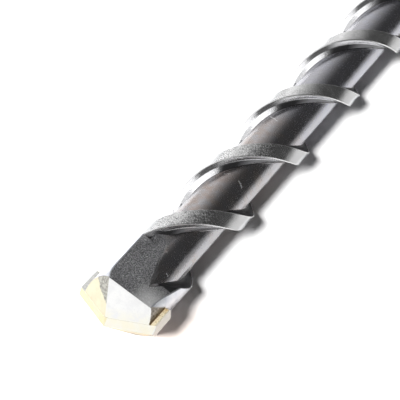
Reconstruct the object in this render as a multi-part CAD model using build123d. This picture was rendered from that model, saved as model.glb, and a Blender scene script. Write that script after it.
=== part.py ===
"""Hammer drill bit for masonry: ribbed steel body, carbide plate and the braze that holds it.

The solids are drawn with the point at the origin and the drilling axis along +Z, the plate
lying across X. Everything is then laid down: X runs across the plate, Y from the point to the
end of the shank, Z up, and the origin is under the middle of the box that holds the whole bit.
"""

import os
from math import cos, degrees, radians, sin, tan

from build123d import *

os.makedirs("parts", exist_ok=True)

# Overall sizes
overall_length = 340.0
rib_end = 196.0  # where the ribs are turned away towards the shank
rib_end_taper = 9.0  # length of the cone that ends the ribs
core_runout = 22.0  # length over which the core grows to the shank

# Ribs: two of them, right handed
rib_diameter = 21.24
core_diameter = 14.14
rib_lead = 64.28
rib_span_deg = 36.7  # how much of the turn one rib takes up, seen along the axis
rib_front_deg = -90.64  # where the front wall of the first rib starts at the point
rib_root_round = 1.3  # radius in the corner between a rib and the core, drawn in flats
rib_front_chamfer = 0.25
rib_back_chamfer = 0.12

# Head: ends round, with one shallow face each side where the flute runs out
head_length = 26.3

# Run of the flute floor through the head. Angles are counted from the plate towards the upper
# side; the floor is flat near the point and grows round towards the core
floor_flat_length = 17.8  # from the end of the head back to where the flat stretch ends
floor_bend_length = 12.6  # from the end of the head back to where its two sides change course
floor_low_point_deg = 28.5
floor_low_bend_deg = 24.9
floor_low_end_deg = 0.0
floor_high_point_deg = 111.5
floor_high_bend_deg = 122.0
floor_high_end_deg = 123.5
floor_radius_point = 7.96  # from the axis to the middle of the floor
floor_radius_end = 7.12
floor_shoulder_share = 0.53  # how far out from the middle the shoulders of the floor lie
floor_rounding_power = 1.5
floor_reach = 19.0  # how far out the cutting shape stands
floor_lip = 2.2

# Polished flute: where its sharp start and its far end lie on the head
flute_start_length = 12.4  # from the end of the head back to the sharp start
flute_start_deg = 51.2
flute_end_run = 1.3  # past the end of the head
flute_end_deg = 88.0
flute_sweep_deg = 125.0
flute_root_round = 1.3

# Carbide plate
plate_width = 25.0
plate_thickness = 3.70
plate_depth = 13.5  # from the point to the floor of the plate
edge_slope_deg = 22.2  # fall of each cutting edge away from the point
front_facet_deg = 44.5  # slope of the ground face in front of an edge
flank_deg = 33.9  # slope of the ground face behind an edge
side_relief = 0.25  # the plate is this much narrower at the trailing side, each end
side_taper_deg = 1.2
plate_foot_chamfer = 0.4
braze_film = 0.15  # thickness of the braze on the sides and under the plate

# Shank
shank_diameter = 18.0
shank_end_chamfer = 1.6
drive_groove_width = 5.0
drive_groove_depth = 2.6
drive_groove_length = 56.0
drive_groove_lead_out = 12.0  # radius the cutter leaves at the closed end
drive_groove_deg = (90.0, 233.0, 307.0)
lock_groove_radius = 4.0
lock_groove_depth = 2.8
lock_groove_length = 25.0
lock_groove_from_end = 20.0
lock_groove_deg = (0.0, 180.0)

# How far cutting shapes stand past what they cut
spare = 2.0

# Values that follow from the sizes above
rib_r = rib_diameter / 2
core_r = core_diameter / 2
shank_r = shank_diameter / 2
turn_per_mm = 360.0 / rib_lead
edge_slope = tan(radians(edge_slope_deg))
front_slope = tan(radians(front_facet_deg))
flank_slope = tan(radians(flank_deg))
slot_half = plate_thickness / 2 + braze_film
block_half = 2 * rib_r
block_length = 2 * head_length

stand = (Align.CENTER, Align.CENTER, Align.MIN)  # a shape that stands on its base


def polar(radius: float, angle_deg: float, z: float = 0.0) -> Vector:
    """Point at a radius and an angle counted from the plate towards the upper side."""
    return Vector(radius * cos(radians(angle_deg)), -radius * sin(radians(angle_deg)), z)


def spun(radius: float, angle_deg: float) -> Vector:
    """Point at a radius and a plain angle about the axis."""
    return Vector(radius * cos(radians(angle_deg)), radius * sin(radians(angle_deg)), 0)


def half_turn(shape):
    """The same shape on the other side of the bit."""
    return shape.rotate(Axis.Z, 180)


def screw(face: Face, length: float) -> Solid:
    """Face carried along the axis while it turns with the ribs."""
    return Solid.extrude_linear_with_rotation(face, (0, 0, 0), (0, 0, length), length * turn_per_mm)


def root_flats(wall_deg: float, side: int) -> list[Vector]:
    """Corner between a rib wall and the core, from the wall inwards, as points of its flats."""
    points = []
    for lean in (0, 22.5, 45, 67.5):
        across = rib_root_round * (1 - cos(radians(lean)))
        radius = core_r + rib_root_round * (1 - sin(radians(lean)))
        points.append(spun(radius, wall_deg + side * degrees(across / radius)))
    sunk = core_r - rib_root_round / 2
    points.append(spun(sunk, wall_deg + side * degrees(3 * rib_root_round / sunk)))
    return points


def crest_chamfer(wall_deg: float, side: int, size: float) -> list[Vector]:
    """Bevel at the top of a rib wall, from the wall outwards, past the outside of the rib."""
    lean = degrees((size + spare) / rib_r)
    return [spun(rib_r - size, wall_deg), spun(rib_r + spare, wall_deg + side * lean)]


# Ribbed stretch: a round core, and two screwed ribs trimmed to their outside
front_deg = rib_front_deg
back_deg = rib_front_deg - rib_span_deg
with BuildSketch() as rib_section:
    with BuildLine():
        front_wall = root_flats(front_deg, 1)
        back_wall = root_flats(back_deg, -1)
        Polyline(
            *reversed(front_wall), *crest_chamfer(front_deg, -1, rib_front_chamfer),
            *reversed(crest_chamfer(back_deg, 1, rib_back_chamfer)), *back_wall, close=True,
        )
    make_face()
rib = screw(rib_section.sketch.face(), rib_end)
taper_start = rib_end - rib_end_taper
outside = Cylinder(rib_r, taper_start, align=stand)
outside = outside + Pos(0, 0, taper_start) * Cone(rib_r, shank_r - core_r / 10, rib_end_taper, align=stand)
rib = rib & outside
ribbed = Cylinder(core_r, rib_end, align=stand) + rib + half_turn(rib)


# Cutting shape of the flute floor, through sections across the axis
def between(first: float, last: float, share: float) -> float:
    """Value part of the way from the first to the last."""
    return first + (last - first) * share


floor_flat_z = head_length - floor_flat_length
floor_bend_z = head_length - floor_bend_length


def floor_section(shape_z: float, z: float) -> Wire:
    """Closed outline of the cutting shape at z, with the form the floor has at shape_z."""
    run = (shape_z - floor_flat_z) / floor_flat_length
    if shape_z < floor_bend_z:
        share = (shape_z - floor_flat_z) / (floor_bend_z - floor_flat_z)
        low = between(floor_low_point_deg, floor_low_bend_deg, share)
        high = between(floor_high_point_deg, floor_high_bend_deg, share)
    else:
        share = (shape_z - floor_bend_z) / floor_bend_length
        low = between(floor_low_bend_deg, floor_low_end_deg, share)
        high = between(floor_high_bend_deg, floor_high_end_deg, share)
    middle_deg = (low + high) / 2
    middle_r = between(floor_radius_point, floor_radius_end, run)
    off = floor_shoulder_share * (high - low) / 2
    shoulder_r = middle_r / cos(radians(off)) ** ((1 - run) ** floor_rounding_power)
    first, last = polar(rib_r, low, z), polar(rib_r, high, z)
    b, m, c = polar(shoulder_r, middle_deg - off, z), polar(middle_r, middle_deg, z), polar(
        shoulder_r, middle_deg + off, z)
    start = first + (first - b).normalized() * floor_lip
    finish = last + (last - c).normalized() * floor_lip
    out = (start + finish) * 0.5
    out = Vector(out.X, out.Y, 0).normalized() * floor_reach
    across = (finish - start).normalized() * rib_r * 1.3
    p, q = out + across + Vector(0, 0, z), out - across + Vector(0, 0, z)
    return Wire([
        Edge.make_spline([start, first, b, m, c, last, finish]),
        Edge.make_line(finish, p), Edge.make_line(p, q), Edge.make_line(q, start),
    ])


stations = [
    floor_flat_z,
    floor_bend_z,
    between(floor_bend_z, head_length, 0.28),
    between(floor_bend_z, head_length, 0.56),
    head_length,
]
floor_cut = Solid.make_loft([floor_section(z, z) for z in stations])
floor_cut = floor_cut + Solid.make_loft(
    [floor_section(floor_flat_z, -spare / 2), floor_section(floor_flat_z, floor_flat_z)]
)

# Polished flute behind the first rib, run out against a plane
flute_start_z = head_length - flute_start_length
flute_end_z = head_length + flute_end_run
with BuildSketch() as sector:
    with BuildLine():
        s0 = back_deg + flute_start_z * turn_per_mm
        Line(spun(core_r, s0), spun(rib_r + 2 * spare, s0))
        CenterArc((0, 0), rib_r + 2 * spare, s0 - flute_sweep_deg, flute_sweep_deg)
        Line(spun(rib_r + 2 * spare, s0 - flute_sweep_deg), spun(core_r, s0 - flute_sweep_deg))
        CenterArc((0, 0), core_r, s0 - flute_sweep_deg, flute_sweep_deg)
    make_face()
    root = sector.vertices().sort_by_distance(spun(core_r, s0))[0]
    fillet(root, flute_root_round)
flute_cut = screw(sector.sketch.face(), flute_end_z - flute_start_z + spare / 10)
flute_cut = flute_cut.moved(Location((0, 0, flute_start_z)))
p1 = polar(core_r + 1, flute_start_deg, flute_start_z)
p2 = polar(core_r + 1, flute_end_deg, flute_end_z)
middle = polar(1, (flute_start_deg + flute_end_deg) / 2)
wall = Plane(origin=p1, z_dir=(p2 - p1).cross(middle))
if (polar(rib_r, 0, flute_end_z) - p1).dot(wall.z_dir) < 0:
    wall = Plane(origin=p1, z_dir=wall.z_dir * -1)
flute_cut = split(flute_cut, bisect_by=wall, keep=Keep.TOP)

# Head: a round stub, cut by the two floors and the two flutes
stub = Cylinder(rib_r, head_length, align=stand)
stub = stub - flute_cut - half_turn(flute_cut)
front = ribbed + stub
front = front - floor_cut - half_turn(floor_cut)

# Ground point: two faces above the plate, the same two below
block = Pos(0, 0, -spare) * Box(
    2 * block_half, block_half, block_length, align=(Align.CENTER, Align.MAX, Align.MIN)
)
ahead = Plane(origin=(0, 0, 0), z_dir=(-edge_slope, front_slope, 1))
behind = Plane(origin=(0, 0, 0), z_dir=(edge_slope, flank_slope, 1))
roof = split(block, bisect_by=ahead, keep=Keep.TOP)
roof = split(roof, bisect_by=behind, keep=Keep.TOP)
roof = roof + half_turn(roof)
off_cut = Pos(0, 0, -spare) * Box(2 * block_half, 2 * block_half, block_length, align=stand) - roof

# Slot for the plate
slot = Pos(0, 0, -spare) * Box(
    2 * block_half, 2 * slot_half, spare + plate_depth + braze_film, align=stand
)

# Shank with its grooves
shank_start = rib_end - core_runout
core_cone = Pos(0, 0, shank_start) * Cone(core_r, shank_r, core_runout, align=stand)
shank = Pos(0, 0, rib_end) * Cylinder(shank_r, overall_length - rib_end, align=stand)
shank = chamfer(shank.edges().sort_by(Axis.Z)[-1], shank_end_chamfer)
groove = Pos(0, shank_r, 0) * Box(
    drive_groove_width, 2 * drive_groove_depth, drive_groove_length + spare, align=stand
)
lead_out = Pos(0, shank_r - drive_groove_depth + drive_groove_lead_out, 0) * Rot(0, 90, 0) * Cylinder(
    drive_groove_lead_out, drive_groove_width
)
groove = groove + lead_out
groove = Pos(0, 0, overall_length - drive_groove_length) * groove
for angle in drive_groove_deg:
    shank = shank - groove.rotate(Axis.Z, angle - 90)
lock = Cylinder(lock_groove_radius, lock_groove_length - 2 * lock_groove_radius)
lock = lock + Pos(0, 0, lock_groove_length / 2 - lock_groove_radius) * Sphere(lock_groove_radius)
lock = lock + Pos(0, 0, -lock_groove_length / 2 + lock_groove_radius) * Sphere(lock_groove_radius)
lock = Pos(
    shank_r + lock_groove_radius - lock_groove_depth, 0,
    overall_length - lock_groove_from_end - lock_groove_length / 2,
) * lock
for angle in lock_groove_deg:
    shank = shank - lock.rotate(Axis.Z, angle)

steel_body = front - off_cut - slot
steel_body = steel_body + core_cone + shank

# Carbide plate
half_w = plate_width / 2
half_t = plate_thickness / 2
foot_w = half_w - plate_depth * tan(radians(side_taper_deg))
with BuildSketch(Plane.XZ) as outline:
    Polygon((-half_w, -1), (half_w, -1), (half_w, 0), (foot_w, plate_depth), (-foot_w, plate_depth),
            (-half_w, 0), align=None)
plate = extrude(outline.sketch, half_t, both=True)
with BuildSketch() as plan:
    Polygon((-half_w, half_t), (half_w - side_relief, half_t), (half_w, -half_t),
            (-half_w + side_relief, -half_t), align=None)
plate = plate & Pos(0, 0, -1) * extrude(plan.sketch, plate_depth + 1)
plate = chamfer(plate.edges().filter_by(Axis.X).group_by(Axis.Z)[-1], plate_foot_chamfer)
carbide_plate = plate - off_cut

# Braze: what is left of the slot around the plate
head_round = Cylinder(rib_r, plate_depth + braze_film, align=stand)
braze_seam = (slot & head_round) - off_cut - carbide_plate

# Lay the bit down and write one file for each piece
lay_down = Location((0, -overall_length / 2, rib_r)) * Location((0, 0, 0), (-90, 0, 0))
pieces = {"steel_body": steel_body, "carbide_plate": carbide_plate, "braze_seam": braze_seam}
for name, shape in pieces.items():
    solids = shape.solids()
    solid = solids[0] if len(solids) == 1 else Compound(solids)
    solid = solid.moved(lay_down)
    solid.label = name
    export_step(solid, f"parts/{name}.step")
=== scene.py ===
"""Looks, light and camera for a masonry hammer drill bit on a white table.

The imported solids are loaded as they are. The steel body gets one finish whose zones follow the
turning of the ribs, and the plate and the braze get their own. The nicks on the flutes, the
edge of the blasting and the braze that ran out beside the plate are parts of these finishes.
"""

import logging
import math
from dataclasses import dataclass, field
from enum import Enum

import bmesh
import bpy
from mathutils import Matrix, Vector


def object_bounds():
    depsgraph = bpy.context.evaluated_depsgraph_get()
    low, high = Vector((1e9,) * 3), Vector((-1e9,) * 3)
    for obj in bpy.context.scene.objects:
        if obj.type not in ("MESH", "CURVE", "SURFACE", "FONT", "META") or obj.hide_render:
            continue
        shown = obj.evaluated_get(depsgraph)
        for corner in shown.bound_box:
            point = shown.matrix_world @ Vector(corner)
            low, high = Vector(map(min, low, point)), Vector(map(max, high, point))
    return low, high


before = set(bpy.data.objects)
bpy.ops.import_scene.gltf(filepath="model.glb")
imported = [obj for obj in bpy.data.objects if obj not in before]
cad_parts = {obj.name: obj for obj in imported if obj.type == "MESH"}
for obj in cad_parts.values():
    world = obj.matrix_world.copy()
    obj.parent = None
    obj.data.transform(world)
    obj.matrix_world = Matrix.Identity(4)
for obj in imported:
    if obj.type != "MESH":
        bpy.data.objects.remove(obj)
CAD_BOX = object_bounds()

LOG = logging.getLogger("drill_bit")

MM = 0.001
LOW, HIGH = (Vector(corner) / MM for corner in CAD_BOX)

Socket = bpy.types.NodeSocket
Value = bpy.types.NodeSocket | float | str | tuple | Vector


@dataclass(frozen=True)
class Form:
    """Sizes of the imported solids, in millimetres and degrees.

    Stations run along the bit from its point, and angles around its axis from the right. The
    bit lies on its ribs, so they fill the height of the box.

    Attributes:
        point_y: place of the point on the frame's own axis.
        axis_z: height of the bit's axis.
        rib_radius: distance of the crests from the axis.
        core_radius: radius of the core.
        rib_lead: length in which a rib turns once.
        rib_front: angle of a rib's front wall at the point.
        rib_span: angle that a crest takes up.
        rib_end: station where the ribs end.
        head_length: station where the head ends.
        plate_half: half the plate's thickness.
        edge_fall: angle at which the cutting edge falls back from the point.
        front_fall: angle at which the front face falls back.
        flank_fall: angle at which the flank falls back.
    """

    point_y: float = LOW.y
    axis_z: float = (HIGH.z + LOW.z) / 2
    rib_radius: float = (HIGH.z - LOW.z) / 2
    core_radius: float = 7.07
    rib_lead: float = 64.28
    rib_front: float = 90.64
    rib_span: float = 36.7
    rib_end: float = 196.0
    head_length: float = 26.3
    plate_half: float = 1.85
    edge_fall: float = 22.2
    front_fall: float = 44.5
    flank_fall: float = 33.9

    @property
    def turn(self) -> float:
        """Degrees that the ribs turn in a millimetre."""
        return 360.0 / self.rib_lead


FORM = Form()


def near(place: float, limits: tuple[float, float]) -> tuple[float, float]:
    """Moves a pair of limits to a place on the bit."""
    return place + limits[0], place + limits[1]


@dataclass(frozen=True)
class Recipe:
    """What a kind of node is made of.

    Attributes:
        node: Blender's name of the node.
        settings: its properties that differ from the default.
        inputs: its inputs, in the order in which their values are given.
        output: the output that is used.
    """

    node: str
    settings: dict[str, str] = field(default_factory=dict)
    inputs: tuple[int | str, ...] = (0, 1, 2)
    output: int | str = 0


class Kind(Enum):
    """Kinds of node in use, named for what they do."""

    PLUS = Recipe("ShaderNodeMath", {"operation": "ADD"})
    MINUS = Recipe("ShaderNodeMath", {"operation": "SUBTRACT"})
    TIMES = Recipe("ShaderNodeMath", {"operation": "MULTIPLY"})
    TIMES_PLUS = Recipe("ShaderNodeMath", {"operation": "MULTIPLY_ADD"})
    OVER = Recipe("ShaderNodeMath", {"operation": "DIVIDE"})
    POWER = Recipe("ShaderNodeMath", {"operation": "POWER"})
    ROOT = Recipe("ShaderNodeMath", {"operation": "SQRT"})
    LARGER = Recipe("ShaderNodeMath", {"operation": "MAXIMUM"})
    SMALLER = Recipe("ShaderNodeMath", {"operation": "MINIMUM"})
    ABOVE = Recipe("ShaderNodeMath", {"operation": "GREATER_THAN"})
    BELOW = Recipe("ShaderNodeMath", {"operation": "LESS_THAN"})
    SIZE = Recipe("ShaderNodeMath", {"operation": "ABSOLUTE"})
    SIGN = Recipe("ShaderNodeMath", {"operation": "SIGN"})
    REMAINDER = Recipe("ShaderNodeMath", {"operation": "FLOORED_MODULO"})
    ANGLE = Recipe("ShaderNodeMath", {"operation": "ARCTAN2"})
    DEGREES = Recipe("ShaderNodeMath", {"operation": "DEGREES"})
    # From nought at the first limit to one at the second, softly or evenly
    RISE = Recipe("ShaderNodeMapRange", {"interpolation_type": "SMOOTHSTEP"})
    RISE_EVENLY = Recipe("ShaderNodeMapRange", {"interpolation_type": "LINEAR"})
    CLAMP = Recipe("ShaderNodeClamp")
    # A share, then what is below and what is laid over it
    PAINT = Recipe("ShaderNodeMix", {"data_type": "RGBA"}, (0, 6, 7), 2)
    BLEND = Recipe("ShaderNodeMix", {"data_type": "FLOAT"}, (0, 2, 3))
    LEAN = Recipe("ShaderNodeMix", {"data_type": "VECTOR"}, (0, 4, 5), 1)
    VECTOR = Recipe("ShaderNodeCombineXYZ")
    SPLIT = Recipe("ShaderNodeSeparateXYZ")
    STEP = Recipe("ShaderNodeVectorMath", {"operation": "SUBTRACT"})
    STRETCH = Recipe("ShaderNodeVectorMath", {"operation": "MULTIPLY"})
    SCALE = Recipe("ShaderNodeVectorMath", {"operation": "SCALE"}, (0, "Scale"))
    UNIT = Recipe("ShaderNodeVectorMath", {"operation": "NORMALIZE"})
    DOT = Recipe("ShaderNodeVectorMath", {"operation": "DOT_PRODUCT"}, output="Value")
    GAP = Recipe("ShaderNodeVectorMath", {"operation": "DISTANCE"}, output="Value")
    TO_WORLD = Recipe(
        "ShaderNodeVectorTransform",
        {"vector_type": "NORMAL", "convert_from": "OBJECT", "convert_to": "WORLD"},
    )
    NOISE = Recipe("ShaderNodeTexNoise", inputs=("Vector", "Scale", "Detail", "Roughness"))
    SPOT = Recipe("ShaderNodeTexCoord", output="Object")
    TOWARD = Recipe("ShaderNodeTexCoord", output="Generated")
    NORMAL = Recipe("ShaderNodeNewGeometry", output="Normal")
    BOUNCES = Recipe("ShaderNodeLightPath", output="Diffuse Depth")
    MIRRORED = Recipe("ShaderNodeLightPath", output="Is Glossy Ray")
    SEEN = Recipe("ShaderNodeLightPath", output="Is Camera Ray")
    BUMP = Recipe("ShaderNodeBump", inputs=("Strength", "Distance", "Height", "Normal"))
    METAL = Recipe(
        "ShaderNodeBsdfPrincipled", inputs=("Base Color", "Metallic", "Roughness", "Normal")
    )
    MATT = Recipe("ShaderNodeBsdfDiffuse")
    GLOW = Recipe("ShaderNodeBackground")
    EITHER = Recipe("ShaderNodeMixShader")
    SURFACE = Recipe("ShaderNodeOutputMaterial")
    SKY = Recipe("ShaderNodeOutputWorld")


def linear(code: str) -> tuple[float, float, float, float]:
    """Turns a hex sRGB colour into linear values.

    Args:
        code: six hex digits, with or without the leading mark.

    Returns:
        Linear red, green, blue and an alpha of one.
    """
    code = code.lstrip("#")
    values = [int(code[i : i + 2], 16) / 255 for i in (0, 2, 4)]
    out = [v / 12.92 if v <= 0.04045 else ((v + 0.055) / 1.055) ** 2.4 for v in values]
    return (*out, 1.0)


class Net:
    """Node tree of a material or of the world."""

    def __init__(self, owner: bpy.types.Material | bpy.types.World) -> None:
        """Empties the tree of its owner.

        Args:
            owner: the material or world.
        """
        self.owner = owner
        owner.use_nodes = True
        self.tree = owner.node_tree
        self.tree.nodes.clear()

    def add(self, kind: Kind, *values: Value) -> Socket | None:
        """Adds one node with its settings and links.

        Args:
            kind: the kind of node.
            values: sockets, numbers, vectors or hex colours for its inputs, in their order.

        Returns:
            The output that is used, or nothing for the last node of a tree.
        """
        recipe = kind.value
        node = self.tree.nodes.new(recipe.node)
        for name, setting in recipe.settings.items():
            setattr(node, name, setting)
        for key, value in zip(recipe.inputs, values):
            if isinstance(value, Socket):
                self.tree.links.new(value, node.inputs[key])
            else:
                node.inputs[key].default_value = linear(value) if isinstance(value, str) else value
        return node.outputs[recipe.output] if node.outputs else None

    def overlap(self, first: Value, *others: Value) -> Socket:
        """Works out where several zones overlap, which is their product.

        Args:
            first: the first zone or share.
            others: the rest of them.

        Returns:
            The product.
        """
        for other in others:
            first = self.add(Kind.TIMES, first, other)
        return first

    def layers(self, kind: Kind, base: Value, *layers: tuple[Value, Value]) -> Value:
        """Lays values over one another.

        Args:
            kind: paint for colours or blend for numbers.
            base: what lies below.
            layers: the zone or share of each layer, and its value.

        Returns:
            The result.
        """
        for share, over in layers:
            base = self.add(kind, share, base, over)
        return base

    def outside(self, zone: Socket) -> Socket:
        """Nought in a zone and one outside it."""
        return self.add(Kind.MINUS, 1.0, zone)

    def fray(self, value: Socket, noise: Socket, width: float) -> Socket:
        """Frays a value with a noise.

        Args:
            value: the value, such as a distance from an edge.
            noise: the noise, whose middle is a half.
            width: how far the noise moves the value from end to end.

        Returns:
            The frayed value.
        """
        return self.add(Kind.TIMES_PLUS, self.add(Kind.MINUS, noise, 0.5), width, value)

    def stroke(self, flat: Socket, start: tuple, end: tuple) -> Socket:
        """Works out how far a point is from a short straight line on the unrolled surface.

        Args:
            flat: the point, as millimetres along and millimetres around the core.
            start: first end of the line, in the same measure.
            end: its other end.

        Returns:
            The distance in millimetres.
        """
        step = Vector((*end, 0.0)) - Vector((*start, 0.0))
        away = self.add(Kind.STEP, flat, (*start, 0.0))
        share = self.add(Kind.CLAMP, self.add(Kind.DOT, away, step / step.length_squared))
        return self.add(Kind.GAP, away, self.add(Kind.SCALE, step, share))

    def lean(self, facing: Socket, share: Socket, toward: Socket) -> Socket:
        """Leans a normal towards another direction.

        Args:
            facing: the normal so far, in world space.
            share: how far it leans, nought to one.
            toward: the other direction, in the piece's own space.

        Returns:
            The new normal.
        """
        unit = self.add(Kind.UNIT, self.add(Kind.TO_WORLD, toward))
        return self.add(Kind.LEAN, share, facing, unit)

    def finish(self, shader: Socket) -> bpy.types.Material | bpy.types.World:
        """Joins the shader to the output.

        Args:
            shader: the shader's output.

        Returns:
            The material or world.
        """
        material = isinstance(self.owner, bpy.types.Material)
        self.add(Kind.SURFACE if material else Kind.SKY, shader)
        return self.owner


@dataclass(frozen=True)
class Grain:
    """Cloudy pattern of a surface.

    Attributes:
        size_mm: how wide its features are.
        octaves: how many finer patterns it carries.
        rough: how much the finer ones count.
    """

    size_mm: float
    octaves: float = 3.0
    rough: float = 0.55

    def spread(self, net: Net, vector: Socket) -> Socket:
        """Spreads the pattern over a piece.

        Args:
            net: the material's nodes.
            vector: the point, in metres.

        Returns:
            The pattern, nought to one with its middle at a half.
        """
        return net.add(Kind.NOISE, vector, 1 / (self.size_mm * MM), self.octaves, self.rough)


@dataclass
class Place:
    """Where a shaded point lies on the bit, as sockets in millimetres and degrees.

    Attributes:
        vector: the point itself, in metres.
        across: distance to the right of the axis.
        along: distance from the point of the bit.
        up: height above the axis.
        radius: distance from the axis.
        angle: angle around the axis.
        half: the same, starting again every half turn.
        phase: angle past the front wall of a rib, which starts again at the next rib.
    """

    vector: Socket
    across: Socket
    along: Socket
    up: Socket
    radius: Socket
    angle: Socket
    half: Socket
    phase: Socket

    @classmethod
    def on(cls, net: Net) -> "Place":
        """Adds the nodes that work out where a point lies.

        Args:
            net: the material's nodes.

        Returns:
            The place.
        """
        vector = net.add(Kind.SPOT)
        x, y, z = net.add(Kind.SPLIT, vector).node.outputs
        across = net.add(Kind.TIMES, x, 1 / MM)
        along = net.add(Kind.TIMES_PLUS, y, 1 / MM, -FORM.point_y)
        up = net.add(Kind.TIMES_PLUS, z, 1 / MM, -FORM.axis_z)
        squares = net.add(Kind.TIMES, across, across), net.add(Kind.TIMES, up, up)
        radius = net.add(Kind.ROOT, net.add(Kind.PLUS, *squares))
        angle = net.add(Kind.DEGREES, net.add(Kind.ANGLE, up, across))
        half = net.add(Kind.REMAINDER, angle, 180.0)
        turned = net.add(Kind.PLUS, net.add(Kind.TIMES, along, FORM.turn), angle)
        phase = net.add(Kind.REMAINDER, net.add(Kind.MINUS, turned, FORM.rib_front), 180.0)
        return cls(vector, across, along, up, radius, angle, half, phase)


@dataclass(frozen=True)
class Nick:
    """Short bright scratch on a flute floor.

    Attributes:
        along: station of its first end, in millimetres from the point of the bit.
        angle: degrees of its first end around the axis.
        end_along: station of its other end.
        end_angle: degrees of its other end.
        half_width: half its width, in millimetres.
    """

    along: float
    angle: float
    end_along: float
    end_angle: float
    half_width: float

    # Width of the wobble and of the faded rim, in millimetres
    FRAY = 1.4
    SOFT = 0.06

    def mark(self, net: Net, flat: Socket, wobble: Socket) -> Socket:
        """Adds the nick.

        Args:
            net: the material's nodes.
            flat: the point, as millimetres along and around the core.
            wobble: noise that frays the nick.

        Returns:
            One on the nick and nought beside it.
        """
        start = self.along, math.radians(self.angle) * FORM.core_radius
        end = self.end_along, math.radians(self.end_angle) * FORM.core_radius
        gap = net.fray(net.stroke(flat, start, end), wobble, self.FRAY)
        return net.add(Kind.RISE, gap, self.half_width + self.SOFT, self.half_width - self.SOFT)


@dataclass(frozen=True)
class BlastEdge:
    """Edge of the blasting on the flute floor, as an angle that grows along the bit.

    Attributes:
        start: station in millimetres where the flute begins.
        start_deg: the edge's angle there.
        slope: degrees that it gains in a millimetre.
        top_deg: the angle at which it stays.
        end: station where the blasting fades out.
        at_start: millimetres from the start between which the stub before it sets in.
        before_rib: degrees from the end of a crest between which the rib's rear sets in.
        at_end: millimetres from the end over which it fades out.
        under_rim: millimetres from the rim between which it sets in.
        spread: limits between which the frayed edge turns to blasting.
        blur: degrees over which it fades, as a gain in a millimetre and a value at the point.
        least_blur: the least of that.
        fray: how far the grain moves it, in shares of the blur.
        haze: degrees before the edge over which a haze sets in.
        haze_near: stations between which the haze ends.
        haze_share: strength of the haze.
    """

    start: float = 13.9
    start_deg: float = 51.2
    slope: float = 2.15
    top_deg: float = 80.0
    end: float = 31.0
    at_start: tuple[float, float] = (0.3, -0.3)
    before_rib: tuple[float, float] = (0.4, -0.2)
    at_end: tuple[float, float] = (2.0, -2.5)
    under_rim: tuple[float, float] = (-0.12, -0.3)
    spread: tuple[float, float] = (-0.4, 0.4)
    blur: tuple[float, float] = (0.6, -8.0)
    least_blur: float = 0.5
    fray: float = 2.2
    haze: tuple[float, float] = (-14.0, 0.0)
    haze_near: tuple[float, float] = (21.5, 18.0)
    haze_share: float = 0.75


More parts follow.
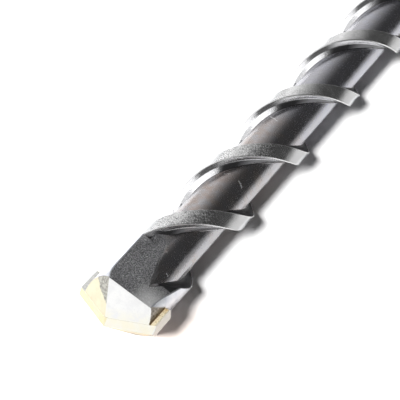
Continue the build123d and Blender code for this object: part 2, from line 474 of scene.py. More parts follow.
class SteelFinish:
    """Alloy steel: drawn flutes, ground ribs and shank, shot blasted head, ground point.

    The drawn and ground parts mirror the room in long streaks, the blasted head is a matt grey
    that glitters, and the fresh faces of the point are nearly white. The real grit is finer than
    a pixel, so every pattern is drawn as coarse as it needs to show.
    """

    NAME = "alloy_steel_drawn_ground_and_blasted"

    FINE = Grain(0.30, 3.0, 0.7)
    SPECK = Grain(0.50, 2.0, 0.8)
    GRAIN = Grain(0.65, 4.0, 0.75)
    CLOUD = Grain(3.2, 4.0, 0.6)
    PATCH = Grain(5.0, 1.0)
    WIDE = Grain(9.0, 2.0)
    # Grinding marks run around the shank, so they are squeezed across it
    RINGS = Grain(0.22, 3.0, 0.7)
    RINGS_SQUEEZE = (0.06, 1.0, 0.06)

    # Limits between which the clouds change one shade for the next
    EVEN = (0.35, 0.65)

    # Each pair below runs from where a zone is nought to where it is full.
    # Millimetres from the rim, the end of the head and the end of the ribs
    CREST = (-0.45, -0.2)
    SPILL_RIM = (-0.15, -0.05)
    PAST_HEAD = (-0.4, 0.4)
    SHANK = (-2.0, 1.0)
    # Degrees past the front wall of a rib
    FRONT_WALL = (164.0, 167.0)
    REAR_WALL = (50.0, 48.0)
    REAR_FROM = (18.0, 19.0)
    REAR_TO = (91.0, 90.0)
    # Painted highlight along the front edge of a crest
    EDGE_HIGHLIGHT = (1.5, 1.1)
    # Degrees from the end of a crest, for the painted highlight along its rear edge
    REAR_EDGE_HIGHLIGHT = (-1.5, -1.1)
    # Degrees around the axis, starting again every half turn
    HEATED_FROM = (60.0, 92.0)
    HEATED_TO = (146.0, 112.0)
    # Painted sparkle on the upper side of the crests
    SPARKLE_FROM = (38.0, 60.0)
    SPARKLE_TO = (128.0, 106.0)
    LOWER_CREST = (34.0, 4.0)
    UPPER_CREST = (106.0, 122.0)
    # Painted shade at the foot of the walls, except on their left side
    DARK_FOOT = (118.0, 106.0)
    PALE_BLAST = (78.0, 36.0)
    SPILL_TO = (34.0, 28.0)
    # Stations in millimetres from the point
    HEATED_NEAR = (100.0, 75.0)
    COOL_FROM = (78.0, 105.0)
    # Painted sparkle, fading out away from the head
    SPARKLE_NEAR = (120.0, 60.0)
    CLIMB_NEAR = (31.5, 28.0)
    REAR_IN_HEAD = (16.6, 17.2)
    PALE_NEAR = (17.5, 10.5)
    RUN_IN_FROM = (22.0, 24.0)
    # Millimetres above the foot of a wall, which climbs near the head
    # SEAM marks a thin line of painted shade in the crease at the foot of each wall
    SEAM = (0.02, 0.06)
    WALL = (0.10, 0.16)
    # Height up to which the painted shade at the foot of the walls reaches
    DARK_UP_TO = (1.7, 1.3)
    CLIMB = 1.7
    # Millimetres above the core
    HOLLOW_UP_TO = (1.9, 1.6)
    # Millimetres from a face of the point, and beside the point's middle
    FACE = (0.07, 0.03)
    TRAILING = (0.0, -0.1)
    # Millimetres above the axis: the front is warm near the plate
    WARM_FRONT = (4.6, 2.0)
    # Border of the bare corner: each line's slope and its height at the middle
    BARE_STEEP = (-0.833, 5.95 - 0.833 * 5.6)
    BARE_SHALLOW = (-0.31, 5.4 - 0.31 * 3.8)
    BARE_FRAY = 1.6
    BARE_EDGE = (-0.15, 0.25)
    # Spilt braze: it starts beside the plate and reaches less far along, the further around
    SPILL_FROM_DEG = 8.0
    SPILL_REACH = (-0.19, 13.6)
    SPILL_FRAY = 2.6
    SPILL_EDGE = (-0.1, 0.5)

    NICKS = (
        Nick(21.2, 41.4, 21.1, 31.9, 0.10),
        Nick(60.2, 60.1, 59.4, 43.4, 0.16),
        Nick(88.4, 118.0, 87.2, 92.0, 0.10),
        Nick(59.6, 97.4, 60.4, 88.0, 0.06),
    )
    EDGE = BlastEdge()

    # Direction that the foot of a front wall faces: around the axis, outwards and along the bit
    FOOT_AROUND = 0.666
    FOOT_OUT = 0.388
    FOOT_ALONG = -0.63

    def __init__(self) -> None:
        """Adds the patterns and the zones that the layers share."""
        self.net = net = Net(bpy.data.materials.new(self.NAME))
        self.at = at = Place.on(net)
        self.fine = self.FINE.spread(net, at.vector)
        self.grain = self.GRAIN.spread(net, at.vector)
        self.speck = self.SPECK.spread(net, at.vector)
        self.cloud = self.CLOUD.spread(net, at.vector)
        self.wide = self.WIDE.spread(net, at.vector)
        squeezed = net.add(Kind.STRETCH, at.vector, self.RINGS_SQUEEZE)
        self.rings = self.RINGS.spread(net, squeezed)

        self.crest = net.add(Kind.RISE, at.radius, *near(FORM.rib_radius, self.CREST))
        self.past_head = net.add(Kind.RISE, at.along, *near(FORM.head_length, self.PAST_HEAD))
        self.head = net.outside(self.past_head)
        self.shank = net.add(Kind.RISE, at.along, *near(FORM.rib_end, self.SHANK))
        self.near_rib = net.add(
            Kind.LARGER,
            net.add(Kind.RISE, at.phase, *self.FRONT_WALL),
            net.add(Kind.RISE, at.phase, *self.REAR_WALL),
        )
        self.rear = net.overlap(
            net.add(Kind.RISE, at.phase, *self.REAR_FROM),
            net.add(Kind.RISE, at.phase, *self.REAR_TO),
        )
        self.front_foot = net.overlap(net.outside(self.rear), self.near_rib)
        self.nicks = self.nicked()
        # Painted sparkle: glints and dark specks are painted on the crests' upper side, where the
        # light catches them, and close to the head
        self.painted_sparkle = net.overlap(
            net.add(Kind.RISE, at.half, *self.SPARKLE_FROM),
            net.add(Kind.RISE, at.half, *self.SPARKLE_TO),
            net.add(Kind.RISE, at.along, *self.SPARKLE_NEAR),
        )
        # Painted glints: white specks in patches, mostly where the painted sparkle lies
        self.glints = net.overlap(
            net.add(Kind.RISE, self.speck, 0.57, 0.62),
            net.add(Kind.RISE, self.PATCH.spread(net, at.vector), 0.34, 0.50),
            net.add(Kind.TIMES_PLUS, self.painted_sparkle, 0.5, 0.05),
        )
        self.above_foot = self.height_above_foot()
        self.ribbed = self.rib_sides()
        self.wall = net.overlap(self.ribbed, net.add(Kind.RISE, self.above_foot, *self.WALL))
        self.edge_highlight = self.edge_highlights()
        self.blasted = self.blasting()
        # The point is the same above the plate and, half a turn on, below it
        self.beside = net.add(Kind.TIMES, at.across, net.add(Kind.SIGN, at.up))
        self.rise = net.add(Kind.SIZE, at.up)
        self.on_front, self.on_flank = self.point_faces()
        self.ground = net.add(Kind.LARGER, self.on_front, self.on_flank)
        self.spill = self.spilt()

    def nicked(self) -> Socket:
        """One on the nicks of the flutes.

        Returns:
            The zone.
        """
        net, at = self.net, self.at
        around = net.add(Kind.TIMES, at.angle, math.radians(FORM.core_radius))
        flat = net.add(Kind.VECTOR, at.along, around)
        nicks = 0.0
        for nick in self.NICKS:
            nicks = net.add(Kind.LARGER, nicks, nick.mark(net, flat, self.fine))
        return nicks

    def height_above_foot(self) -> Socket:
        """Height above the foot of the wall, which the blasting climbs near the head.

        Returns:
            The height in millimetres.
        """
        net, at = self.net, self.at
        near_head = net.add(Kind.RISE, at.along, *self.CLIMB_NEAR)
        foot = net.add(Kind.TIMES_PLUS, near_head, self.CLIMB, FORM.core_radius)
        foot = net.add(Kind.BLEND, self.rear, foot, FORM.core_radius)
        return net.add(Kind.MINUS, at.radius, foot)

    def rib_sides(self) -> Socket:
        """One on both sides of the ribs, from the core up to the crest.

        Returns:
            The zone.
        """
        net = self.net
        in_head = net.overlap(net.add(Kind.RISE, self.at.along, *self.REAR_IN_HEAD), self.rear)
        return net.overlap(
            net.add(Kind.LARGER, self.past_head, in_head),
            self.near_rib,
            net.outside(self.crest),
            net.outside(self.shank),
        )

    def edge_highlights(self) -> Socket:
        """One on the painted highlights along both edges of a crest, which stand in for their small
        rounds.

        Returns:
            The zone.
        """
        net, phase = self.net, self.at.phase
        front = net.add(Kind.RISE, phase, *self.EDGE_HIGHLIGHT)
        rear = net.add(Kind.RISE, phase, *near(FORM.rib_span, self.REAR_EDGE_HIGHLIGHT))
        return net.overlap(net.add(Kind.LARGER, front, rear), self.crest, self.past_head)

    def blasting(self) -> Socket:
        """One on the blasted head, whose edge runs slanting over the flute and fades out.

        Returns:
            The zone.
        """
        net, at, edge = self.net, self.at, self.EDGE
        at_point = edge.start_deg - edge.slope * edge.start
        border = net.add(Kind.TIMES_PLUS, at.along, edge.slope, at_point)
        border = net.add(Kind.SMALLER, border, edge.top_deg)
        past = net.add(Kind.MINUS, at.half, border)
        # Sharp at the point and softer along the bit
        blur = net.add(Kind.TIMES_PLUS, at.along, *edge.blur)
        blur = net.add(Kind.LARGER, blur, edge.least_blur)
        over = net.fray(net.add(Kind.OVER, past, blur), self.speck, edge.fray)
        haze = net.overlap(
            net.add(Kind.RISE, past, *edge.haze),
            net.add(Kind.RISE, at.along, *edge.haze_near),
            edge.haze_share,
        )
        beyond = net.add(Kind.LARGER, net.add(Kind.RISE, over, *edge.spread), haze)
        stub = net.add(Kind.RISE, at.along, *near(edge.start, edge.at_start))
        beyond = net.add(Kind.LARGER, beyond, stub)
        before_rib = net.add(Kind.RISE, at.phase, *near(FORM.rib_span, edge.before_rib))
        return net.overlap(
            net.add(Kind.LARGER, beyond, before_rib),
            net.add(Kind.RISE, at.along, *near(edge.end, edge.at_end)),
            net.add(Kind.RISE, at.radius, *near(FORM.rib_radius, edge.under_rim)),
            net.outside(self.wall),
        )

    def point_faces(self) -> tuple[Socket, Socket]:
        """Works out where the ground faces of the point are.

        Returns:
            One on the front faces, and one on the flanks.
        """
        net = self.net
        edge, front, flank = (
            math.tan(math.radians(fall))
            for fall in (FORM.edge_fall, FORM.front_fall, FORM.flank_fall)
        )
        faces = []
        for along_edge, back in ((-edge, front), (edge, flank)):
            gap = net.add(Kind.TIMES_PLUS, self.beside, along_edge, self.at.along)
            gap = net.add(Kind.TIMES_PLUS, self.rise, -back, gap)
            faces.append(net.add(Kind.RISE, net.add(Kind.SIZE, gap), *self.FACE))
        trailing = net.add(Kind.RISE, self.beside, *self.TRAILING)
        return faces[0], net.overlap(faces[1], trailing)

    def spilt(self) -> Socket:
        """One where braze ran out on to the side of the head beside the plate.

        Returns:
            The zone.
        """
        net, at = self.net, self.at
        past_plate = net.add(Kind.MINUS, at.half, self.SPILL_FROM_DEG)
        reach = net.add(Kind.TIMES_PLUS, past_plate, *self.SPILL_REACH)
        left = net.add(Kind.MINUS, net.fray(reach, self.grain, self.SPILL_FRAY), at.along)
        return net.overlap(
            net.add(Kind.RISE, left, *self.SPILL_EDGE),
            net.add(Kind.RISE, at.half, *self.SPILL_TO),
            net.add(Kind.RISE, at.radius, *near(FORM.rib_radius, self.SPILL_RIM)),
            net.outside(self.ground),
        )

    def flute_colour(self) -> Socket:
        """Drawn flute, tinted brown by the heat of hardening and bluish further up.

        Returns:
            The colour.
        """
        net, at = self.net, self.at
        tint = net.overlap(
            net.add(Kind.RISE, self.cloud, 0.30, 0.75), net.add(Kind.RISE, self.wide, 0.30, 0.65)
        )
        heat = net.overlap(
            net.add(Kind.RISE, at.half, *self.HEATED_FROM),
            net.add(Kind.RISE, at.half, *self.HEATED_TO),
            net.add(Kind.RISE, self.cloud, 0.30, 0.68),
            net.add(Kind.RISE, at.along, *self.HEATED_NEAR),
            0.7,
        )
        cool = net.overlap(
            net.add(Kind.RISE, at.along, *self.COOL_FROM),
            net.add(Kind.RISE, self.cloud, 0.25, 0.60),
            0.65,
        )
        return net.layers(
            Kind.PAINT,
            "#b4b4b8",
            (tint, "#b3aaa4"),
            (net.overlap(net.add(Kind.RISE, self.speck, *self.EVEN), 0.35), "#8f8a8a"),
            (net.overlap(net.add(Kind.RISE, self.grain, 0.50, 0.70), 0.25), "#c9c2bd"),
            (heat, "#aa9b94"),
            (cool, "#b4b6c1"),
            (net.add(Kind.RISE, self.fine, 0.62, 0.76), "#f4f2f0"),
            (self.nicks, "#ffffff"),
        )

    def crest_colour(self) -> Socket:
        """Ground crests, with painted glints and dark specks on their upper side, and the smoother
        rim of the head, painted bluish.

        Returns:
            The colour.
        """
        net, at = self.net, self.at
        clouds = net.add(Kind.RISE, self.cloud, *self.EVEN)
        return net.layers(
            Kind.PAINT,
            "#d6d6d6",
            (clouds, "#eeeeee"),
            (net.add(Kind.RISE, at.half, *self.LOWER_CREST), "#b4b4b4"),
            (net.add(Kind.RISE, at.half, *self.UPPER_CREST), "#cdcecf"),
            (self.glints, "#ffffff"),
            # Painted dark specks where the painted sparkle lies
            (net.overlap(net.add(Kind.RISE, self.speck, 0.46, 0.38), self.painted_sparkle), "#9a9a9c"),
            # Painted light: the rim of the head is tinted bluish, like a light falling on it from
            # the right front
            (self.head, net.add(Kind.PAINT, clouds, "#d9dce4", "#eceef2")),
        )

    def shank_colour(self) -> Socket:
        """Shank and grooves, ground around the axis.

        Returns:
            The colour.
        """
        net = self.net
        return net.layers(
            Kind.PAINT,
            "#a9a9ac",
            (net.add(Kind.RISE, self.cloud, *self.EVEN), "#bcbcbe"),
            (net.overlap(net.add(Kind.RISE, self.rings, 0.40, 0.66), 0.6), "#dededf"),
            (net.overlap(net.add(Kind.RISE, self.grain, 0.58, 0.70), 0.5), "#77757a"),
        )

    def wall_colour(self) -> Socket:
        """Walls of the ribs: light in front and much darker behind, with painted shade low on the
        walls except on their left side.

        Returns:
            The colour.
        """
        net = self.net
        # Painted shade: low on the walls, except on their left side, where they would mirror the
        # bright table
        painted_shade_foot = net.overlap(
            net.add(Kind.RISE, self.at.half, *self.DARK_FOOT),
            net.add(Kind.RISE, self.above_foot, *self.DARK_UP_TO),
        )
        return net.layers(
            Kind.PAINT,
            "#d6d6d8",
            (net.add(Kind.RISE, self.speck, 0.52, 0.70), "#f0f0f2"),
            (painted_shade_foot, "#6a6a6c"),
            (self.rear, "#4c4c4e"),
        )

    def blast_colour(self) -> Socket:
        """Blasted steel: grey with dark pits and bright glints, paler beside the point.

        Returns:
            The colour.
        """
        net, at = self.net, self.at
        pale = net.overlap(
            net.add(Kind.RISE, at.half, *self.PALE_BLAST),
            net.add(Kind.RISE, at.along, *self.PALE_NEAR),
            0.9,
        )
        return net.layers(
            Kind.PAINT,
            "#7c7c7e",
            (net.add(Kind.RISE, self.fine, 0.42, 0.62), "#c6c6c8"),
            (pale, "#f2f2f2"),
            (net.add(Kind.RISE, self.fine, 0.64, 0.69), "#ffffff"),
        )

    def front_colour(self) -> Socket:
        """Front faces of the point: nearly white, a little warm beside the plate.

        Returns:
            The colour.
        """
        net = self.net
        beside_plate = net.overlap(
            net.add(Kind.RISE, self.rise, *self.WARM_FRONT),
            net.add(Kind.RISE, self.cloud, 0.3, 0.6),
        )
        return net.layers(
            Kind.PAINT,
            "#e3e3e3",
            (net.add(Kind.RISE, self.cloud, 0.4, 0.6), "#e9e9e8"),
            (net.overlap(net.add(Kind.RISE, self.fine, 0.58, 0.66), 0.5), "#d9d9d9"),
            (beside_plate, "#e9e7dc"),
        )

    def flank_colour(self) -> Socket:
        """Flanks of the point: straw tinted, with a bare grey corner at the ridge.

        Returns:
            The colour.
        """
        net = self.net
        # The border of the tint bends where its steep and its shallow stretch meet
        steep = net.add(Kind.TIMES_PLUS, self.beside, *self.BARE_STEEP)
        shallow = net.add(Kind.TIMES_PLUS, self.beside, *self.BARE_SHALLOW)
        border = net.fray(net.add(Kind.LARGER, steep, shallow), self.grain, self.BARE_FRAY)
        bare = net.add(Kind.RISE, net.add(Kind.MINUS, self.rise, border), *self.BARE_EDGE)
        spotted = net.add(Kind.RISE, self.grain, 0.40, 0.62)
        return net.layers(
            Kind.PAINT,
            "#e5dfc7",
            (net.add(Kind.RISE, self.cloud, 0.35, 0.6), "#e1d8c0"),
            (net.overlap(net.add(Kind.RISE, self.grain, 0.56, 0.70), 0.5), "#c4b083"),
            (bare, net.add(Kind.PAINT, spotted, "#918f8a", "#c2c0b8")),
        )

    def colour(self) -> Socket:
        """Lays the colours of all zones over one another.

        Returns:
            The colour.
        """
        net = self.net
        # Painted shade: a thin dark line in the crease at the foot of each wall
        seam = net.overlap(net.add(Kind.RISE, self.above_foot, *self.SEAM), self.ribbed)
        film = net.add(Kind.PAINT, net.add(Kind.RISE, self.grain, 0.36, 0.64), "#a89c8e", "#f2eae0")
        return net.layers(
            Kind.PAINT,
            self.flute_colour(),
            (self.crest, self.crest_colour()),
            (self.shank, self.shank_colour()),
            (seam, "#4a4645"),
            (self.wall, self.wall_colour()),
            # Painted highlights along the edges of the crests
            (self.edge_highlight, "#ececec"),
            (self.blasted, self.blast_colour()),
            (self.on_front, self.front_colour()),
            (self.on_flank, self.flank_colour()),
            (self.spill, film),
        )

    def roughness(self) -> Socket:
        """Lays the roughness of all zones over one another.

        Returns:
            The roughness.
        """
        net = self.net
        flute = net.add(Kind.BLEND, net.add(Kind.RISE, self.cloud, 0.3, 0.7), 0.16, 0.26)
        land = net.add(Kind.BLEND, net.overlap(self.glints, self.past_head), 0.22, 0.75)
        land = net.add(Kind.BLEND, self.head, land, 0.34)
        dots = net.add(Kind.RISE, self.speck, 0.63, 0.69)
        return net.layers(
            Kind.BLEND,
            flute,
            (self.crest, land),
            (self.shank, net.add(Kind.TIMES_PLUS, self.rings, 0.3, 0.18)),
            (self.nicks, 0.6),
            (net.overlap(dots, net.outside(self.crest), 0.55), 0.6),
            (self.wall, 0.15),
            (net.overlap(self.wall, self.rear), 0.6),
            (self.edge_highlight, 0.40),
            (self.blasted, 0.75),
            (self.ground, 0.5),
        )

    def facing(self) -> Socket:
        """Normal of the surface: the foot of a front wall is hollow and faces half outwards.

        Returns:
            The normal.
        """
        net, at = self.net, self.at
        across = net.add(Kind.OVER, at.across, at.radius)
        up = net.add(Kind.OVER, at.up, at.radius)
        foot = net.add(
            Kind.VECTOR,
            net.add(
                Kind.TIMES_PLUS, up, self.FOOT_AROUND, net.add(Kind.TIMES, across, self.FOOT_OUT)
            ),
            self.FOOT_ALONG,
            net.add(
                Kind.TIMES_PLUS, across, -self.FOOT_AROUND, net.add(Kind.TIMES, up, self.FOOT_OUT)
            ),
        )
        hollow = net.add(Kind.RISE, at.radius, *near(FORM.core_radius, self.HOLLOW_UP_TO))
        low = net.overlap(self.wall, hollow, self.front_foot)
        facing = net.lean(net.add(Kind.NORMAL), low, foot)
        # Where the blasting climbs the wall it has rounded the foot off
        run_in = net.overlap(
            self.blasted, net.add(Kind.RISE, at.along, *self.RUN_IN_FROM), self.front_foot
        )
        return net.lean(facing, run_in, net.add(Kind.VECTOR, at.across, 0.0, at.up))

    def relief(self) -> Socket:
        """Normal with the pits of the blasting, deeper pits where the crests' painted sparkle lies,
        and small dents.

        Returns:
            The normal.
        """
        net = self.net
        ribs = net.overlap(self.crest, self.past_head)
        pitted = net.overlap(ribs, net.add(Kind.TIMES_PLUS, self.painted_sparkle, 0.26, 0.02))
        deep = net.add(Kind.LARGER, self.blasted, pitted)
        strength = net.add(
            Kind.TIMES_PLUS, deep, 0.9, net.add(Kind.TIMES_PLUS, ribs, -0.11, 0.13)
        )
        strength = net.overlap(strength, net.add(Kind.TIMES_PLUS, self.ground, -0.97, 1.0))
        dents = net.overlap(net.add(Kind.RISE, self.speck, 0.50, 0.72), 1.6)
        height = net.add(
            Kind.BLEND, ribs, net.add(Kind.TIMES_PLUS, self.speck, 1.2, self.grain), dents
        )
        return net.add(Kind.BUMP, strength, 0.16 * MM, height, self.facing())

    def metallic(self) -> Socket:
        """Share of bare metal: oxide on the walls and flux in the spilt braze are none.

        Returns:
            The share.
        """
        net = self.net
        oxide = net.overlap(self.wall, self.front_foot, 0.15)
        dull = net.add(Kind.LARGER, oxide, net.overlap(self.spill, 0.5))
        return net.outside(dull)

    def material(self) -> bpy.types.Material:
        """Builds the steel's material.

        Returns:
            The material.
        """
        return self.net.finish(
            self.net.add(
                Kind.METAL, self.colour(), self.metallic(), self.roughness(), self.relief()
            )
        )


@dataclass(frozen=True)
class CarbideFinish:
    """Tungsten carbide, ground, with a straw tint left by brazing.

    It is a pale satin grey that looks warm, and braze lies on the leading side as a gold crust.

    Attributes:
        name: the material's name.
        grain: grit of the grinding, drawn as coarse as it needs to show.
        cloud: width of the tint's clouds.
        side: millimetres from the plate's side between which it sets in.
        crust_dark: distances from the axis between which the crust turns dark by the steel.
        crust_thin: distances between which it thins out towards the corner.
        crust_pale: stations between which it turns pale towards the cutting edge.
        end_from: distances between which the narrow end face begins.
        behind: millimetres behind the plate's middle between which the strong tint sets in.
    """

    name: str = "tungsten_carbide_ground"
    grain: Grain = Grain(0.4, 4.0, 0.7)
    cloud: Grain = Grain(3.0)
    side: tuple[float, float] = (-0.03, -0.01)
    crust_dark: tuple[float, float] = (10.95, 10.7)
    crust_thin: tuple[float, float] = (11.75, 12.0)
    crust_pale: tuple[float, float] = (14.5, 10.5)
    end_from: tuple[float, float] = (12.05, 12.15)
    behind: tuple[float, float] = (0.0, -0.1)

    def face_colour(self, net: Net, at: Place, grain: Socket) -> Socket:
        """Ground faces: a strong straw tint behind the cutting edge, a faint one in front.

        Args:
            net: the material's nodes.
            at: the place on the bit.
            grain: the fine pattern.

        Returns:
            The colour.
        """
        clouds = net.add(Kind.RISE, self.cloud.spread(net, at.vector), 0.35, 0.65)
        beside = net.add(Kind.TIMES, at.across, net.add(Kind.SIGN, at.up))
        front = net.add(Kind.PAINT, clouds, "#eae8de", "#eae6d6")
        spots = net.overlap(net.add(Kind.RISE, grain, 0.56, 0.70), 0.4)
        back = net.layers(Kind.PAINT, "#e5ddba", (clouds, "#e3dec6"), (spots, "#c4b083"))
        return net.add(Kind.PAINT, net.add(Kind.RISE, beside, *self.behind), front, back)

    def crust_colour(self, net: Net, at: Place, grain: Socket) -> Socket:
        """Braze on the leading side: gold, dark beside the steel and thin at the corner.

        Args:
            net: the material's nodes.
            at: the place on the bit.
            grain: the fine pattern.

        Returns:
            The colour.
        """
        out = net.add(Kind.SIZE, at.across)
        toward_edge = net.add(Kind.RISE, at.along, *self.crust_pale)
        gold = net.add(Kind.PAINT, toward_edge, "#dcb570", "#fff0cc")
        return net.layers(
            Kind.PAINT,
            "#a8834a",
            (net.add(Kind.RISE, grain, 0.34, 0.50), gold),
            (net.add(Kind.RISE, out, *self.crust_thin), "#d9d3bf"),
            (net.add(Kind.RISE, out, *self.crust_dark), "#6b5330"),
        )

    def material(self) -> bpy.types.Material:
        """Builds the carbide's material.

        Returns:
            The material.
        """
        net = Net(bpy.data.materials.new(self.name))
        at = Place.on(net)
        grain = self.grain.spread(net, at.vector)
        height = net.add(Kind.SIZE, at.up)
        side = net.add(Kind.RISE, height, *near(FORM.plate_half, self.side))
        leading = net.add(Kind.ABOVE, net.add(Kind.TIMES, at.across, at.up), 0.0)
        crust = net.overlap(side, leading)
        pale = net.add(Kind.PAINT, net.add(Kind.RISE, grain, 0.4, 0.6), "#dededb", "#fafaf8")
        sides = net.add(Kind.PAINT, leading, pale, self.crust_colour(net, at, grain))
        colour = net.add(Kind.PAINT, side, self.face_colour(net, at, grain), sides)
        end = net.add(Kind.RISE, net.add(Kind.SIZE, at.across), *self.end_from)
        colour = net.add(Kind.PAINT, net.overlap(end, net.outside(side)), colour, "#e4e4e0")
        # The braze froze in a slope against the plate
        top = net.add(Kind.SIGN, at.up)
        slope = net.add(
            Kind.VECTOR, net.add(Kind.TIMES, top, 0.1), -0.55, net.add(Kind.TIMES, top, 0.83)
        )
        facing = net.lean(net.add(Kind.NORMAL), crust, slope)
        strength = net.add(Kind.TIMES_PLUS, crust, 0.6, 0.10)
        bump = net.add(Kind.BUMP, strength, 0.2 * MM, grain, facing)
        metallic = net.add(Kind.TIMES_PLUS, crust, -0.6, 1.0)
        roughness = net.add(Kind.TIMES_PLUS, side, -0.25, 0.5)
        return net.finish(net.add(Kind.METAL, colour, metallic, roughness, bump))


@dataclass(frozen=True)
class BrazeFinish:
    """Copper alloy braze, as it froze.

    It shows as a thin uneven line that is nearly as pale as the ground faces beside it.

    Attributes:
        name: the material's name.
        cloud: width of the ripples.
        behind: millimetres behind the plate's middle between which the tint sets in.
    """

    name: str = "copper_braze_as_frozen"
    cloud: Grain = Grain(0.9, 4.0)
    behind: tuple[float, float] = (0.0, -0.1)

    def material(self) -> bpy.types.Material:
        """Builds the braze's material.

        Returns:
            The material.
        """
        net = Net(bpy.data.materials.new(self.name))
        at = Place.on(net)
        cloud = self.cloud.spread(net, at.vector)
        beside = net.add(Kind.TIMES, at.across, net.add(Kind.SIGN, at.up))
        colour = net.add(Kind.PAINT, net.add(Kind.RISE, cloud, 0.38, 0.62), "#eae8de", "#ebe9df")
        colour = net.add(Kind.PAINT, net.add(Kind.RISE, beside, *self.behind), colour, "#cfc6aa")
        bump = net.add(Kind.BUMP, 0.4, 0.1 * MM, cloud)
        return net.finish(net.add(Kind.METAL, colour, 1.0, 0.5, bump))


@dataclass(frozen=True)
class Studio:
    """White table, one soft key, a room of soft light and the camera.

    Attributes:
        table_half: half the table's width, in metres.
        mirror_reach: how far beside the bit the table's mirror image keeps its full light.
        mirror_fall: how fast it falls off further out.
        mirror_level: light of the table as the steel mirrors it.
        mirror_left: places left of the bit between which that gains one more.
        bounce_level: the same for light that the table sends on.
        seen_level: the same as the camera sees it, which makes the table white.
        braze_spot: where the painted warm light of the braze beside the point falls on the table.
        braze_reach: distances from there between which its light sets in.
        braze_gain: how much lighter it makes the table.
        key_from: direction from which the key comes.
        key_angle: width of the key in degrees, which softens the shadow.
        key_energy: strength of the key.
        left: direction of the room's bright side.
        side_edge: limits between which that side rises from dark to bright.
        side_power: how fast it falls off.
        side_level: its light.
        dark_level: light of the room everywhere.
        front: direction of the bright panel in front of the bit.
        panel_edge: limits between which the panel sets in.
        panel_level: its light.
        spread_share: share of the room's light once another surface has spread it.
        camera_at: the camera's place, in metres.
        right: direction to the right of the picture.
        up: direction to the top of the picture.
        lens: focal length in millimetres, for a sensor 36 mm wide.
    """

    table_half: float = 3.0
    mirror_reach: float = 0.027
    mirror_fall: float = 1.1
    mirror_level: float = 2.4
    mirror_left: tuple[float, float] = (-0.012, -0.034)
    bounce_level: float = 0.93
    seen_level: float = 2.75
    braze_spot: tuple[float, float, float] = (0.016, -0.160, 0.0)
    braze_reach: tuple[float, float] = (0.026, 0.006)
    braze_gain: float = 0.8
    key_from: tuple[float, float, float] = (-0.10, -1.0, 1.1)
    key_angle: float = 16.1
    key_energy: float = 2.1
    left: tuple[float, float, float] = (-1.0, 0.0, 0.0)
    side_edge: tuple[float, float] = (-0.42, 0.58)
    side_power: float = 1.7
    side_level: float = 0.93
    dark_level: float = 0.07
    front: tuple[float, float, float] = (-0.10, -0.85, 0.52)
    panel_edge: tuple[float, float] = (0.80, 0.86)
    panel_level: float = 1.45
    spread_share: float = 0.10
    camera_at: tuple[float, float, float] = (0.1262526, -0.3097963, 0.2575159)
    right: tuple[float, float, float] = (0.826967, 0.562250, -0.001272)
    up: tuple[float, float, float] = (-0.408484, 0.602357, 0.685790)
    lens: float = 104.614

    def build(self) -> None:
        """Makes the table, the key, the room and the camera."""
        self.table()
        self.key()
        self.room()
        self.camera()

    def table(self) -> None:
        """Makes the white table under the bit."""
        bm = bmesh.new()
        bmesh.ops.create_grid(bm, x_segments=1, y_segments=1, size=self.table_half)
        mesh = bpy.data.meshes.new("table")
        bm.to_mesh(mesh)
        bm.free()
        mesh.materials.append(self.paper())
        table = bpy.data.objects.new("table", mesh)
        bpy.context.scene.collection.objects.link(table)
        LOG.info("table: %s", mesh.materials[0].name)

    def paper(self) -> bpy.types.Material:
        """Builds the table's material.

        Seen directly it is white paper, with a painted pool of warm light next to the braze.
        Mirrored in the steel it carries painted light: brighter left of the bit and darker to the
        right, away from it.

        Returns:
            The material.
        """
        net = Net(bpy.data.materials.new("white_table"))
        spot = net.add(Kind.SPOT)
        x = net.add(Kind.SPLIT, spot)
        # Painted light: as the steel mirrors it, the table dims to the right of the bit and is
        # brighter to its left
        fall = net.add(Kind.OVER, self.mirror_reach, net.add(Kind.LARGER, x, self.mirror_reach))
        left = net.add(Kind.PLUS, net.add(Kind.RISE, x, *self.mirror_left), self.mirror_level)
        mirrored = net.overlap(net.add(Kind.POWER, fall, self.mirror_fall), left)
        direct = net.add(Kind.BELOW, net.add(Kind.BOUNCES), 0.5)
        glossy = net.overlap(net.add(Kind.MIRRORED), direct)
        level = net.add(Kind.BLEND, glossy, self.bounce_level, mirrored)
        # Painted pool of warm light from the braze next to the point
        painted_braze_light = net.add(Kind.RISE, net.add(Kind.GAP, spot, self.braze_spot), *self.braze_reach)
        seen = net.add(Kind.TIMES_PLUS, painted_braze_light, self.braze_gain, self.seen_level)
        level = net.add(Kind.BLEND, net.add(Kind.SEEN), level, seen)
        warm = net.add(Kind.PAINT, painted_braze_light, "#ffffff", "#f8ece4")
        return net.finish(net.add(Kind.MATT, net.add(Kind.SCALE, warm, level)))

    def key(self) -> None:
        """Makes the soft key, as far away as a sun, so it lights the whole table evenly."""
        lamp = bpy.data.lights.new("key", "SUN")
        lamp.angle = math.radians(self.key_angle)
        lamp.energy = self.key_energy
        obj = bpy.data.objects.new("key", lamp)
        obj.location = self.key_from
        obj.rotation_euler = Vector(self.key_from).to_track_quat("Z", "Y").to_euler()
        obj.visible_glossy = False
        bpy.context.scene.collection.objects.link(obj)
        LOG.info("key: sun of strength %.1f", self.key_energy)

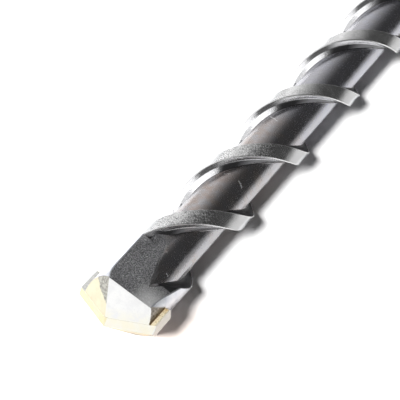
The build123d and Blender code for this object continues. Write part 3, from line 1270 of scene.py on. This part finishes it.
    def room(self) -> None:
        """Makes the room: bright to the left and in front, dark to the right and behind."""
        world = bpy.data.worlds.new("room")
        bpy.context.scene.world = world
        net = Net(world)
        toward = net.add(Kind.TOWARD)
        side = net.add(Kind.RISE_EVENLY, net.add(Kind.DOT, toward, self.left), *self.side_edge)
        side = net.add(Kind.POWER, side, self.side_power)
        light = net.add(Kind.TIMES_PLUS, side, self.side_level, self.dark_level)
        panel = net.add(Kind.RISE, net.add(Kind.DOT, toward, self.front), *self.panel_edge)
        light = net.add(Kind.TIMES_PLUS, panel, self.panel_level, light)
        spread = net.add(Kind.ABOVE, net.add(Kind.BOUNCES), 0.5)
        light = net.overlap(light, net.add(Kind.BLEND, spread, 1.0, self.spread_share))
        lit = net.add(Kind.GLOW, "#ffffff", light)
        white = net.add(Kind.GLOW, "#ffffff", 1.0)
        net.finish(net.add(Kind.EITHER, net.add(Kind.SEEN), lit, white))
        world.cycles_visibility.diffuse = False
        LOG.info("room: %s", world.name)

    def camera(self) -> None:
        """Makes the camera where the photograph was taken from."""
        data = bpy.data.cameras.new("camera")
        data.lens = self.lens
        data.sensor_width = 36.0
        data.clip_start, data.clip_end = 0.01, 20.0
        obj = bpy.data.objects.new("camera", data)
        right, up = Vector(self.right), Vector(self.up)
        turn = Matrix((right, up, right.cross(up))).transposed().to_4x4()
        obj.matrix_world = Matrix.Translation(self.camera_at) @ turn
        bpy.context.scene.collection.objects.link(obj)
        bpy.context.scene.camera = obj
        LOG.info("camera: lens of %.1f mm", self.lens)


class Piece(Enum):
    """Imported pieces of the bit, by the names of their nodes."""

    BODY = "steel_body"
    PLATE = "carbide_plate"
    SEAM = "braze_seam"


@dataclass(frozen=True)
class Bit:
    """The bit's pieces and their finishes.

    Attributes:
        nodes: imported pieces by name.
    """

    nodes: dict[str, bpy.types.Object]

    def dress(self) -> None:
        """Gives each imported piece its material."""
        finishes = {
            Piece.BODY: SteelFinish(),
            Piece.PLATE: CarbideFinish(),
            Piece.SEAM: BrazeFinish(),
        }
        for piece, finish in finishes.items():
            material = finish.material()
            for slot in self.nodes[piece.value].material_slots:
                slot.material = material
            LOG.info("%s: %s", piece.value, material.name)


def main() -> None:
    """Builds the whole scene."""
    logging.basicConfig(level=logging.INFO, format="%(message)s")
    bpy.context.scene.view_settings.view_transform = "Standard"
    Bit(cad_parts).dress()
    Studio().build()


if __name__ == "__main__":
    main()
